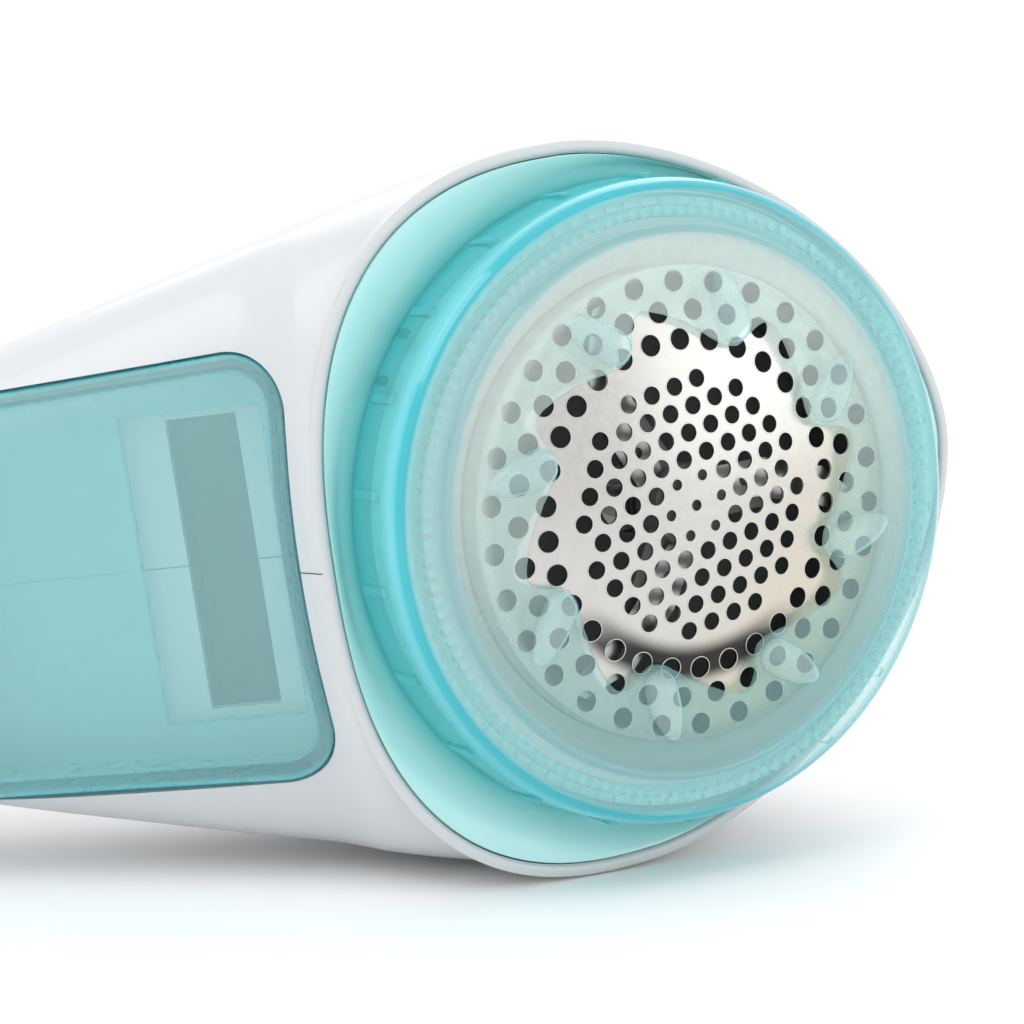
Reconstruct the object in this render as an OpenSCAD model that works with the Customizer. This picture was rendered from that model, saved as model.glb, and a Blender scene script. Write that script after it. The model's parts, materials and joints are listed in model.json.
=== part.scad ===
// Battery fabric shaver, lying on its side: white shell, aqua front plate, see-through
// height cap and lint container. Millimetres, +Z up, the handle runs along -X.
//
// Device frame: +X runs up the handle to the head, +Y points away from the container
// side, Z is across the width, and the outer middle of the foil is the origin.
// Head frame: its Z is the direction that the foil faces, its Y is the device's Z.

/* [Head] */
// Angle between the shaving plane and the handle
head_angle = 32; // [30:1:34]
// Outer radius of the height cap
cap_r = 28.6; // [28.2:0.1:29]
// Number of raised drops round the cap's opening
drop_count = 8; // [6:1:10]
// How far the drops stand above the cap's face
drop_height = 1.1; // [0.8:0.1:1.5]
// Number of grip ribs round the cap's wall
rib_count = 22; // [16:1:28]
// Spacing of the holes in the middle of the foil
hole_pitch = 2.4; // [2.35:0.01:2.45]
// Number of holes in each outer row of the foil
outer_hole_count = 30; // [24:1:30]
// Number of cutter blades
blade_count = 3; // [2:1:4]

/* [Shell] */
// Length of the handle behind the middle of the foil
tail_x = 134; // [132:1:138]
// Half the width of the handle
handle_half_w = 16.8; // [16.6:0.1:17.2]
// Thickness of the shell's wall
wall = 1.8; // [1.6:0.1:1.8]

/* [Lint container] */
// Half the width of the container at its head end
box_half_w = 19.2; // [18.6:0.1:19.4]
// How far the container stands proud of the shell
box_proud = 0.8; // [0.5:0.1:1]

/* [Cells] */
// Radius of one cell
cell_r = 7.1; // [6.9:0.05:7.2]
// Length of one cell's body
cell_len = 49; // [48:0.5:49.5]

/* [Hidden] */

$fn = 96;
fit = 0.05;             // radial clearance of a running fit
gap = 0.35;             // clearance between moving walls
eps = 0.01;

// The shell lies with its tail and the side of its head on the floor.
lie_angle = 7.65;
rest_height = 33.715;
centre_x = 54.822;
centre_y = 15.278;

// Head frame heights, measured along the direction that the foil faces
rim_z = -8.2;           // lip of the shell
plate_edge_z = -8.4;    // outer edge of the front plate
plate_floor_z = -9.7;   // bottom of the groove that the cap's skirt stands in
plate_back_z = -11.4;
collar_top_z = -4;
foil_flat_z = -1.5;     // flat outer part of the foil
foil_dome_r = 17;
foil_r = 20.9;
foil_t = 0.25;
foil_flange_z = -5.2;
cap_face_z = -0.1;
cap_face_t = 0.6;
cap_rim_z = -1.2;
cap_skirt_z = -9.3;
cap_step_r = 24.2;
cap_wall = 1.35;
chamber_floor_z = -11.2;
hub_z = -3.95;          // underside of the cutter's arms
shaft_r = 1;
motor_front_z = -15;
motor_len = 24;
motor_r = 10.2;

// Outline of the front plate and of the shell's lip round it
plate_heel = 26.7;      // from the widest place towards the handle
plate_nose = 37.3;      // and the other way
plate_b = 31.3;
lip = 1.25;
plate_shift = -4.3;
// The outline is squarer on the handle's side
function outline_exp(m) = m < plate_shift ? 2.5 : 1.75;
function outline_a(m) = m < plate_shift ? plate_heel : plate_nose;

// Side view of the shell: back line, underside line and half width along the handle
spine_y = 8;
belly_y = -5.8;
back_line = [[-tail_x, 13.4], [-130, 16.1], [-122, 18], [-100, 18.6], [-78, 20.2], [-58, 25],
    [-38, 33.8], [-20, 41.4], [-4, 44], [10, 40.6], [19, 33.4], [24.7, 25.4]];
belly_line = [[-tail_x, 0], [-130, -3.6], [-122, -5.5], [-100, belly_y], [-40, belly_y],
    [-36.4, -6.1], [-33.8, -7.7], [-31.4, -9.9], [-25, -10.6], [-8, -10.2]];
side_line = [[-tail_x, 12.4], [-131, 15.4], [-127, 16.5], [-118, handle_half_w],
    [-86, handle_half_w], [-74, 17.8], [-60, 21.4], [-48, 24.5], [-37, 27.3], [-25, 30.3],
    [-14, 32.3], [-8, 32.45]];
skin_points = 28;

// Lint container and its bay
bay_front_x = -33.7;
bay_rear_x = -72.3;
bay_floor_front_y = 1.8;
bay_floor_rear_y = 8.2;
box_taper = 1.2;
box_t = 1.4;
pivot = [-68.5, -1.2];
pin_r = 1;
duct_mouth = [-45.5, -39];
duct_half_w = 13.2;
duct_y = 5.5;
bay_wall = 1.3;

cell_y = 6.2;
cell_z = 7.35;
cell_front_x = -76.5;
door_x = -84;
switch_x = -64;
switch_turn = 15.4;     // slope of the back there
switch_travel = 4;
switch_depth = 6.2;

// ---------- placing ----------

module lie() {
    translate([centre_x, -centre_y, rest_height]) rotate([0, -lie_angle, 0]) children();
}

module head() {
    lie() rotate([0, 0, head_angle]) rotate([90, 0, 0]) children();
}

module at_angles(count, start = 0) {
    for (i = [0 : count - 1]) rotate([0, 0, start + 360 / count * i]) children();
}

// ---------- curves ----------

function spow(v, e) = sign(v) * pow(abs(v), e);
function slope(p, i) =
    let (a = max(i - 1, 0), b = min(i + 1, len(p) - 1)) (p[b][1] - p[a][1]) / (p[b][0] - p[a][0]);
function span_of(p, x, i = 0) = i >= len(p) - 2 || x < p[i + 1][0] ? i : span_of(p, x, i + 1);
// Smooth curve through the points of a list, which rise in x
function curve(p, x) =
    let (i = span_of(p, x), d = p[i + 1][0] - p[i][0], t = (x - p[i][0]) / d)
    (2 * t * t * t - 3 * t * t + 1) * p[i][1] + (t * t * t - 2 * t * t + t) * d * slope(p, i)
    + (3 * t * t - 2 * t * t * t) * p[i + 1][1] + (t * t * t - t * t) * d * slope(p, i + 1);

// Device-frame height of the lip plane above a point of the handle line
function rim_m(x) = (x - rim_z * sin(head_angle)) / cos(head_angle);
function rim_y(x) = rim_m(x) * sin(head_angle) - rim_z * cos(head_angle);
function outline_w(m, grow) =
    let (e = outline_exp(m), u = abs(m - plate_shift) / (outline_a(m) + grow))
    (plate_b + grow) * pow(max(1 - pow(u, e), 0), 1 / e);

bow_x = -8;
function spine(x) = x < bow_x ? spine_y : max(spine_y, rim_y(x));
function back(x) = curve(back_line, x);
function belly(x) = x < bow_x ? curve(belly_line, x) : spine(x) - spine_y + curve(belly_line, bow_x);
function half_w(x) = x < bow_x ? curve(side_line, x) : outline_w(rim_m(x), lip);
function roundness(x) = 2.5 + 0.4 * min(max((-30 - x) / 60, 0), 1);

nose_x = (plate_nose + lip + plate_shift) * cos(head_angle) + rim_z * sin(head_angle);
stations = concat(
    [for (i = [0 : 4]) -tail_x + 14 * (1 - cos(20 * i))],
    [for (x = [-116 : 8 : -44]) x],
    [for (x = [-38 : 2 : -30]) x],
    [for (x = [-25 : 5.5 : -14]) x],
    [for (i = [0 : 8]) bow_x + (nose_x - bow_x) * sin(10.8 * i)]);

function section(x, inset) =
    let (w = max(half_w(x) - inset, 0.4), c = spine(x), e = 2 / roundness(x),
         up = max(back(x) - inset - c, 0.3), down = max(c - belly(x) - inset, 0.3))
    [for (k = [0 : skin_points - 1]) let (a = 360 * (k + 0.5) / skin_points, s = spow(cos(a), e))
        [x, c + (s > 0 ? up : down) * s, w * spow(sin(a), e)]];

// Closed skin of the whole shell, moved inwards by inset
module skin(inset) {
    low = -tail_x + max(inset, 0);
    high = nose_x - max(inset, 0);
    xs = [for (x = stations) min(max(x, low), high)];
    rows = [for (i = [0 : len(xs) - 1]) if (i == 0 || xs[i] > xs[i - 1] + eps) xs[i]];
    n = skin_points;
    last = (len(rows) - 1) * n;
    polyhedron(
        points = [for (x = rows) each section(x, inset)],
        faces = concat(
            [[for (k = [0 : n - 1]) k]],
            [for (i = [0 : len(rows) - 2]) for (k = [0 : n - 1]) each
                let (a = i * n + k, b = i * n + (k + 1) % n)
                [[a, b + n, b], [a, a + n, b + n]]],
            [[for (k = [0 : n - 1]) last + n - 1 - k]]),
        convexity = 8);
}

// Outline of the front plate in the head frame
function plate_points(grow) = [for (k = [0 : 47])
    let (a = 7.5 * k, side = plate_shift + cos(a) - eps, e = 2 / outline_exp(side))
    [plate_shift + (outline_a(side) + grow) * spow(cos(a), e), (plate_b + grow) * spow(sin(a), e)]];

module plate_outline(grow, low, high) {
    translate([0, 0, low]) linear_extrude(high - low) polygon(plate_points(grow));
}

// In the device frame
module in_head() {
    rotate([0, 0, head_angle]) rotate([90, 0, 0]) children();
}

// ---------- lint container shapes, device frame ----------

function corner(cx, cz, r, from) =
    [for (a = [0 : 15 : 90]) [cx + r * cos(from + a), cz + r * sin(from + a)]];
function box_outline(grow) =
    let (f = bay_front_x + grow - gap, w = box_half_w + grow - gap, r = 5 + grow,
         b = bay_rear_x - grow + gap, v = w - box_taper, q = 3 + grow)
    concat(
        corner(f - r + 0.6, w - r, r, 0), corner(b + q, v - q, q, 90),
        corner(b + q, -v + q, q, 180), corner(f - r + 0.6, -w + r, r, 270),
        [for (z = [-9 : 4.5 : 9]) [f - 0.1 + 0.7 * pow(z / 13, 2), z]]);

module box_prism(grow, low = -20, high = 20) {
    rotate([90, 0, 0]) translate([0, 0, -high]) linear_extrude(high - low) polygon(box_outline(grow));
}

// Side profile of the bay, from well below the shell up to its sloping floor
module bay_profile(grow) {
    translate([0, 0, -30]) linear_extrude(60) polygon([
        [bay_front_x + 3, -25], [bay_front_x + 3, bay_floor_front_y + grow - 0.6],
        [bay_rear_x - 3, bay_floor_rear_y + grow + 0.6], [bay_rear_x - 3, -25]]);
}

// ---------- shell ----------

module door_space(grow) {
    // The rear part of the back: it slides off over the tail
    translate([-tail_x - 5, 13.2 - grow, -13 - grow]) cube([door_x + tail_x + 5 + grow, 20, 26 + 2 * grow]);
}

// Screw posts, each ending inside the wall
post_r = 2.3;
post_spots = [[-73.9, 15.6], [-45, 25.5], [9.5, 31]];
function width_at(p) =
    let (c = spine(p[0]), h = p[1] > c ? back(p[0]) - c : c - belly(p[0]), n = roundness(p[0]))
    half_w(p[0]) * pow(max(1 - pow(abs(p[1] - c) / h, n), 0), 1 / n);
post_reach = [for (p = post_spots)
    min([for (d = [[0, post_r], [0, -post_r], [post_r, 0], [-post_r, 0]]) width_at(p + d)]) - 0.4];
seat_depth = 2.2;       // the screw heads' seats below the ends of the posts

module shell_body() {
    difference() {
        union() {
            difference() {
                skin(0);
                skin(wall);
                door_space(gap);
            }
            intersection() {
                skin(0.4);
                box_prism(wall - 0.4);
                bay_profile(bay_wall);
            }
            // Lip round the front plate
            in_head() plate_outline(lip, rim_z - 2.5, rim_z);
            for (i = [0 : 2]) translate([post_spots[i][0], post_spots[i][1], -post_reach[i]])
                cylinder(r = post_r, h = 2 * post_reach[i], $fn = 24);
        }
        in_head() translate([-60, -60, rim_z]) cube([120, 120, 60]);
        in_head() plate_outline(fit, plate_back_z - 0.1, 10);
        intersection() {
            box_prism(gap - 0.1, -30, 20);
            bay_profile(0);
        }
        // Mouth of the lint duct in the bay's floor
        duct_hole();
        // Slot of the switch in the back
        translate([switch_x - 8, 15, -2.4]) cube([18, 20, 4.8]);
        for (s = [-1, 1]) translate([pivot[0], pivot[1], s * 17.5 - 3.5])
            cylinder(r = pin_r, h = 7, $fn = 24);
        for (i = [0 : 2]) translate([post_spots[i][0], post_spots[i][1], -50]) {
            cylinder(r = 0.95, h = 60 - post_reach[i] + seat_depth, $fn = 24);
            cylinder(r = 2, h = 50 - post_reach[i] + seat_depth, $fn = 24);
        }
    }
}

module shell_upper() {
    color("whitesmoke") lie() intersection() {
        shell_body();
        translate([-160, -60, 0]) cube([220, 140, 60]);
    }
}

module shell_lower() {
    color("whitesmoke") lie() intersection() {
        shell_body();
        translate([-160, -60, -60]) cube([220, 140, 60]);
    }
}

module shell_screws() {
    color("silver") lie() for (i = [0 : 2]) {
        translate([post_spots[i][0], post_spots[i][1], seat_depth - post_reach[i]]) {
            translate([0, 0, -0.5]) cylinder(r = 0.9, h = 10);
            difference() {
                translate([0, 0, -1.4]) cylinder(r = 1.8, h = 1.4);
                translate([-1.2, -0.25, -1.5]) cube([2.4, 0.5, 0.7]);
                translate([-0.25, -1.2, -1.5]) cube([0.5, 2.4, 0.7]);
            }
        }
    }
}

// ---------- head ----------

module front_plate() {
    color([0.55, 0.85, 0.83]) head() difference() {
        union() {
            difference() {
                plate_outline(0, plate_back_z, plate_edge_z);
                // Dish round the cap
                translate([0, 0, plate_floor_z]) rotate_extrude()
                    polygon([[0, 0], [29.6, 0], [31.2, 2], [0, 2]]);
            }
            cylinder_ring(25, 26, plate_back_z, collar_top_z);
        }
        translate([0, 0, plate_back_z - 1]) cylinder(r = 25, h = 20);
    }
}

module cylinder_ring(r_in, r_out, low, high) {
    translate([0, 0, low]) difference() {
        cylinder(r = r_out, h = high - low);
        translate([0, 0, -1]) cylinder(r = r_in, h = high - low + 2);
    }
}

// Chamber behind the foil, with an outlet on the container's side
module cutter_chamber() {
    color("gainsboro") head() difference() {
        union() {
            cylinder_ring(20.2, 21.8, chamber_floor_z, foil_flange_z - 0.05);
            translate([0, 0, chamber_floor_z - 1.4]) cylinder(r = 21.8, h = 1.4 + eps);
            cylinder_ring(21.5, 24.8, chamber_floor_z - 1.4, chamber_floor_z - 0.3);
        }
        translate([0, 0, -30]) cylinder(r = 3.2, h = 30);
        translate([-30, -12.5, chamber_floor_z - 2]) cube([12, 25, 4.4]);
        at_angles(2, 90) translate([motor_r - 2.4, 0, -20]) cylinder(r = 0.85, h = 20);
    }
}

module foil_profile() {
    // Dome, flat ring, skirt and flange, as one bent sheet
    dome_r = (foil_dome_r * foil_dome_r + foil_flat_z * foil_flat_z) / (-2 * foil_flat_z);
    turn = asin(foil_dome_r / dome_r);
    outer = [for (i = [0 : 12]) let (a = turn * i / 12) [dome_r * sin(a), dome_r * cos(a) - dome_r]];
    inner = [for (i = [12 : -1 : 0]) let (a = turn * i / 12)
        [(dome_r - foil_t) * sin(a), (dome_r - foil_t) * cos(a) - dome_r]];
    polygon(concat(outer,
        [[foil_r - 0.3, foil_flat_z], [foil_r, foil_flat_z - 0.3], [foil_r, foil_flange_z + foil_t],
         [22.6, foil_flange_z + foil_t], [22.6, foil_flange_z], [foil_r - foil_t, foil_flange_z],
         [foil_r - foil_t, foil_flat_z - 0.4], [foil_r - 0.4, foil_flat_z - foil_t]],
        inner));
}

hole_turn = 8.2;
ring_1_spread = 1.12;
small_hole_r = 0.5;
mid_hole_r = 0.8;
big_hole_r = 0.95;

function hex_ring(n) = [for (s = [0 : 5]) for (j = [0 : n - 1])
    let (a = 60 * s, b = 60 * s + 120) [n * cos(a) + j * cos(b), n * sin(a) + j * sin(b)]];

module foil_hole(r) {
    translate([0, 0, -3]) cylinder(r = r, h = 4, $fn = 24);
}

module foil() {
    color("silver") head() difference() {
        rotate_extrude() foil_profile();
        foil_hole(small_hole_r);
        rotate([0, 0, hole_turn]) {
            at_angles(6) translate([hole_pitch * ring_1_spread, 0, 0]) foil_hole(small_hole_r);
            for (n = [2 : 5]) for (p = hex_ring(n)) if (norm(p) < 4.9)
                translate([hole_pitch * p[0], hole_pitch * p[1], 0]) foil_hole(mid_hole_r);
        }
        for (row = [0 : 2])
            at_angles(outer_hole_count, 13.2 + 180 / outer_hole_count * (row % 2))
                translate([hole_pitch * (6 + 1.05 * row), 0, 0]) foil_hole(big_hole_r);
    }
}

module foil_ring() {
    color("gainsboro") head() {
        rotate_extrude() polygon([[foil_r + 0.15, -4.9], [foil_r + 0.15, -3.9], [22.4, -3.4],
            [24.95, -3.4], [24.95, -8], [22.8, -8], [22.8, -4.9]]);
    }
}

// ---------- cutter and motor ----------

module cutter_hub() {
    color("darkgray") head() difference() {
        union() {
            translate([0, 0, hub_z]) cylinder(r = 3.6, h = 3);
            translate([0, 0, hub_z - 3]) cylinder(r = 2.4, h = 3 + eps);
            at_angles(blade_count) translate([0, -2, hub_z]) cube([9, 4, 1.2]);
        }
        translate([0, 0, -20]) cylinder(r = shaft_r + fit, h = 20 + hub_z + 1.8);
        at_angles(blade_count) translate([5, -0.25, hub_z - 0.4]) cube([5, 0.5, 2]);
    }
}

module blade_outline() {
    // Swept blade: its front edge is what shears against the foil
    polygon([[3.8, -0.2], [8, -1], [14, -2.9], [18.6, -5.6], [18.9, -3.4], [15, 0.4], [9, 2.4],
        [3.8, 2.6]]);
}

module cutter_blades() {
    color("lightgray") head() difference() {
        at_angles(blade_count) translate([0, 0, hub_z + 1.25]) linear_extrude(0.6) blade_outline();
        cylinder(r = 3.7, h = 20, center = true);
        at_angles(blade_count) translate([6.5, 0.8, -6]) cylinder(r = 0.5, h = 6, $fn = 24);
    }
}

module cutter_spring() {
    // Flat wave washer stack that pushes the cutter against the foil
    color("silver") head() for (z = [-2.7 : 0.9 : -0.9]) cylinder_ring(2.5, 3.3, hub_z + z, hub_z + z + 0.5);
}

module motor_shaft() {
    color("silver") head() translate([0, 0, -41.2]) cylinder(r = shaft_r, h = 41.2 + hub_z + 1.2);
}

module armature() {
    color("sienna") head() difference() {
        translate([0, 0, motor_front_z - 19]) union() {
            cylinder(r = 3, h = 15);
            at_angles(3, 30) {
                translate([0, -1.2, 2]) cube([6, 2.4, 11]);
                intersection() {
                    translate([0, 0, 2]) cylinder(r = 7.2, h = 11);
                    translate([5.8, -4.6, 2]) cube([3, 9.2, 11]);
                }
            }
        }
        translate([0, 0, -50]) cylinder(r = shaft_r, h = 50);
    }
}

module commutator() {
    color("peru") head() difference() {
        cylinder_ring(shaft_r, 2.4, motor_front_z - 22, motor_front_z - 19.2);
        at_angles(3) translate([1.7, -0.15, motor_front_z - 22.2]) cube([2, 0.3, 3.6]);
    }
}

module motor_can() {
    color("silver") head() difference() {
        union() {
            translate([0, 0, motor_front_z - motor_len]) cylinder(r = motor_r, h = motor_len);
            translate([0, 0, motor_front_z - eps]) cylinder(r = 3, h = 1.4);
        }
        translate([0, 0, motor_front_z - motor_len - 1]) cylinder(r = motor_r - 0.8, h = motor_len + 0.2);
        translate([0, 0, motor_front_z - 5]) cylinder(r = 2, h = 10);
        at_angles(2, 90) translate([motor_r - 2.4, 0, motor_front_z - 3]) cylinder(r = 0.8, h = 5);
    }
}

module motor_bushes() {
    color("goldenrod") head() {
        cylinder_ring(shaft_r + fit, 2, motor_front_z - 0.8, motor_front_z + 1.4);
        cylinder_ring(shaft_r + fit, 2, motor_front_z - motor_len - 1.2, motor_front_z - motor_len + 0.6);
    }
}

module magnets() {
    color("dimgray") head() intersection() {
        cylinder_ring(7.6, motor_r - 0.8, motor_front_z - 18, motor_front_z - 4);
        for (s = [0, 1]) rotate([0, 0, 180 * s]) translate([-6, 3, -60]) cube([12, 12, 60]);
    }
}

module motor_end_cap() {
    color("ivory") head() difference() {
        union() {
            translate([0, 0, motor_front_z - motor_len]) cylinder(r = motor_r - 0.8, h = 1.6);
            translate([0, 0, motor_front_z - motor_len - 1.4]) cylinder(r = 3.2, h = 1.4 + eps);
        }
        translate([0, 0, -60]) cylinder(r = 2, h = 60);
        at_angles(2) translate([5.4, -0.6, -60]) cube([1.2, 1.2, 60]);
    }
}

module brushes() {
    color("dimgray") head() at_angles(2) {
        translate([2.45, -0.6, motor_front_z - 21.4]) cube([4.15, 1.2, 1]);
        translate([5.4, -0.6, motor_front_z - motor_len - 2]) cube([1.2, 1.2, 5.6]);
    }
}

module motor_bracket() {
    color("gainsboro") head() difference() {
        union() {
            translate([0, 0, motor_front_z - 8]) cylinder(r = motor_r + 1.6, h = 9.9);
            translate([-4, -23, chamber_floor_z - 3.3]) cube([8, 46, 1.6]);
        }
        translate([0, 0, motor_front_z - 9]) cylinder(r = motor_r, h = 9);
        translate([0, 0, motor_front_z - 3]) cylinder(r = 3.05, h = 10);
        translate([0, 0, -13.1]) cylinder(r = 30, h = 3);
        at_angles(2, 90) translate([motor_r - 2.4, 0, motor_front_z - 3]) cylinder(r = 0.8, h = 10);
        for (s = [-1, 1]) translate([0, s * 20.5, -20]) cylinder(r = 0.9, h = 20);
    }
}

module bracket_screws() {
    color("silver") head() at_angles(2, 90) translate([motor_r - 2.4, 0, 0]) {
        translate([0, 0, motor_front_z - 1.8]) cylinder(r = 0.8, h = 5.4);
        translate([0, 0, chamber_floor_z + eps]) cylinder(r = 1.5, h = 0.9);
    }
}

// ---------- height cap ----------

module detent_ring() {
    teeth = 90;
    color([0.4, 0.8, 0.8]) head() {
        cylinder_ring(26 + fit, 26.8, -9.3, -3.6);
        at_angles(teeth) translate([26.1, -0.35, -3.7]) cube([0.6, 0.7, 0.5]);
    }
}

// Opening of the cap: each tooth rises slowly to a corner and drops to the next tip
tooth_tip_r = 14.2;
tooth_top_r = 17.6;
tooth_turn = 21.2;
drop_r = 16.2;
drop_size = 2;
tooth_steps = [[0, 0], [0.1, 0], [0.25, 0.2], [0.45, 0.55], [0.6, 0.85], [0.7, 1], [0.77, 0.93],
    [0.86, 0.45]];
function tooth_edge() =
    let (w = 360 / drop_count)
    [for (i = [0 : drop_count - 1]) each [for (p = tooth_steps)
        let (a = tooth_turn + w * (i + p[0]), r = tooth_tip_r + (tooth_top_r - tooth_tip_r) * p[1])
        [r * cos(a), r * sin(a)]]];

module cap_sheet() {
    rotate_extrude() polygon([
        [10, cap_face_z], [20.6, cap_face_z], [22.6, -0.75], [cap_step_r, -1.55], [cap_step_r, cap_rim_z],
        [27, cap_rim_z - 0.2], [cap_r - 0.6, -2], [cap_r - 0.1, -3], [cap_r, -4],
        [cap_r, cap_skirt_z], [cap_r - cap_wall, cap_skirt_z], [cap_r - cap_wall, -3.4], [26.6, -2.6],
        [24.4, -2.4], [22.2, -1.4], [20.4, cap_face_z - cap_face_t], [10, cap_face_z - cap_face_t]]);
}

module drop() {
    // A round inner end that tapers to a point further out
    translate([drop_r, 0, cap_face_z + drop_height - drop_size]) {
        sphere(r = drop_size);
        rotate([0, 80, 36]) cylinder(r1 = 1.5, r2 = 0.3, h = 4.8);
    }
}

module height_cap() {
    color([0.35, 0.8, 0.82, 0.6]) head() {
        difference() {
            cap_sheet();
            translate([0, 0, -5]) linear_extrude(10) polygon(tooth_edge());
        }
        intersection() {
            at_angles(drop_count, tooth_turn) drop();
            translate([0, 0, cap_face_z - 0.4]) cylinder(r = 21.5, h = 3);
        }
        at_angles(rib_count, 4) translate([cap_r - 0.3, -0.8, -8.2]) cube([0.6, 1.6, 4]);
    }
}

// ---------- lint container ----------

module lint_container() {
    color([0.4, 0.8, 0.8, 0.6]) lie() difference() {
        union() {
            difference() {
                intersection() {
                    skin(-box_proud);
                    box_prism(0, -25, 20);
                    bay_profile(-0.45);
                }
                intersection() {
                    skin(box_t - box_proud);
                    box_prism(-box_t, -25, 20);
                    bay_profile(-0.45 - box_t);
                }
                // Mouth on the inner side, over the duct
                translate([-49.5, -1, -duct_half_w - 0.8]) cube([13, 12, 2 * duct_half_w + 1.6]);
                // The rear edge is cut back so that it clears the bay as it swings
                translate([pivot[0] + 2.4, -7.4, -30]) rotate([0, 0, 152]) translate([0, -2.2, 0])
                    cube([12, 6, 60]);
                // The rear inner corner is round about the pivot, so that it passes the bay's floor
                difference() {
                    translate([pivot[0] - 6, pivot[1], -30]) cube([7.2, 20, 60]);
                    translate([pivot[0], pivot[1], -31]) cylinder(r = 8.35, h = 62, $fn = 64);
                }
            }
            for (s = [-1, 1]) translate([pivot[0], pivot[1], s * 15.6 - 1.1]) cylinder(r = 2.2, h = 2.2);
        }
        for (s = [-1, 1]) translate([pivot[0], pivot[1], s * 17 - 3.5]) cylinder(r = pin_r + fit, h = 7);
    }
}

module pivot_pins() {
    color("silver") lie() for (s = [-1, 1]) translate([pivot[0], pivot[1], s * 17 - 2.2])
        cylinder(r = pin_r, h = 4.4);
}

// ---------- duct ----------

module lint_duct() {
    color("darkslategray") lie() difference() {
        translate([-47, duct_y, -duct_half_w - 1.2]) cube([20.5, 7, 2 * duct_half_w + 2.4]);
        translate([-45.8, duct_y + 1.2, -duct_half_w]) cube([25, 4.6, 2 * duct_half_w]);
        duct_hole();
    }
}

module duct_hole() {
    length = duct_mouth[1] - duct_mouth[0];
    translate([duct_mouth[0], -5, -duct_half_w]) cube([length, duct_y + 7, 2 * duct_half_w]);
}

module duct_seal() {
    color("dimgray") lie() difference() {
        translate([duct_mouth[0] - 1, 3, -duct_half_w - 1]) cube([8.5, duct_y - 3, 2 * duct_half_w + 2]);
        bay_profile(bay_wall + 0.02);
        duct_hole();
    }
}

// ---------- cells, tray, door ----------

module cells() {
    color("seagreen") lie() for (s = [-1, 1])
        translate([cell_front_x - (s > 0 ? 2.2 : 0.8), cell_y, s * cell_z]) rotate([0, -90, 0]) {
            cylinder(r = cell_r, h = cell_len);
            translate([0, 0, s > 0 ? cell_len - eps : -1]) cylinder(r = 2.6, h = 1 + eps);
        }
}

module battery_tray() {
    color("gainsboro") lie() difference() {
        intersection() {
            translate([-130.5, -2.2, -14.4]) cube([56, 9, 28.8]);
            skin(wall + 0.2);
        }
        for (s = [-1, 1]) translate([-129.3, cell_y, s * cell_z]) rotate([0, 90, 0])
            cylinder(r = cell_r + 0.15, h = 53.4, $fn = 48);
        translate([-129.3, cell_y, -14.6]) cube([53.4, 9, 29.2]);
        // The plate that joins both cells crosses the rib between them
        translate([-129.3, 2, -2]) cube([0.4, 9, 4]);
    }
}

module coil(r, wire, length, turns) {
    // Flat rings a step apart stand for the coil's turns
    for (i = [0 : turns - 1]) translate([0, 0, i * (length - wire) / (turns - 1)]) difference() {
        cylinder(r = r, h = wire);
        translate([0, 0, -1]) cylinder(r = r - wire, h = wire + 2);
    }
}

module cell_springs() {
    color("silver") lie() {
        translate([cell_front_x + 0.3, cell_y, cell_z]) rotate([0, -90, 0]) coil(2.8, 0.5, 2.4, 3);
        translate([-129, cell_y, -cell_z]) rotate([0, 90, 0]) coil(2.8, 0.5, 2.6, 3);
    }
}

module contact_plates() {
    color("silver") lie() {
        translate([-129.3, 2.2, -10.8]) cube([0.3, 8, 21.6]);
        for (s = [-1, 1]) translate([-76.2, 1.2, s * cell_z - 4]) cube([0.3, 9, 8]);
    }
}

module battery_door() {
    color("whitesmoke") lie() intersection() {
        difference() {
            skin(0);
            skin(wall);
        }
        door_space(0);
    }
}

// ---------- switch ----------

module on_back() {
    lie() translate([switch_x, back(switch_x), 0]) rotate([0, 0, switch_turn]) children();
}

module switch_knob() {
    color([0.55, 0.85, 0.83]) on_back() translate([-switch_travel / 2, 0, 0]) difference() {
        union() {
            translate([-6, 0.7, -4.2]) cube([12, 1.5, 8.4]);
            translate([-2.5, -5, -1.8]) cube([5, 6, 3.6]);
        }
        for (i = [-2 : 2]) translate([i * 1.8 - 0.3, 1.8, -3.2]) cube([0.6, 1, 6.4]);
    }
}

module switch_body() {
    color("dimgray") on_back() translate([0, -switch_depth, 0]) difference() {
        translate([-7, -3, -4]) cube([14, 5.2, 8]);
        translate([-6, -2, -3]) cube([12, 6, 6]);
    }
}

module switch_contacts() {
    color("goldenrod") on_back() translate([0, -switch_depth, 0])
        for (i = [-1 : 1]) translate([i * 4 - 0.4, -6, -0.5]) cube([0.8, 3, 1]);
}

// ---------- leads ----------

module lead(points) {
    for (i = [0 : len(points) - 2]) {
        d = points[i + 1] - points[i];
        translate(points[i]) rotate([0, acos(d[2] / norm(d)), atan2(d[1], d[0])])
            cylinder(r = 0.5, h = norm(d), $fn = 8);
        translate(points[i]) sphere(r = 0.6, $fn = 8);
    }
}

module leads() {
    color("firebrick") lie() {
        lead([[-75.2, 11.2, 9], [-74, 12, 11], [-70, 12.4, 8], [-66.6, 10.4, 1.8]]);
        lead([[-62.2, 11.4, 1.8], [-54, 15, 8], [-40, 24, 10], [-24, 37, 6], [-17.9, 38.9, 0.8]]);
    }
    color("black") lie() lead([[-75.2, 11.2, -9], [-60, 16, -10], [-44, 19, -9], [-31, 32.4, -3],
        [-28.1, 32.2, -0.6]]);
}

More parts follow.
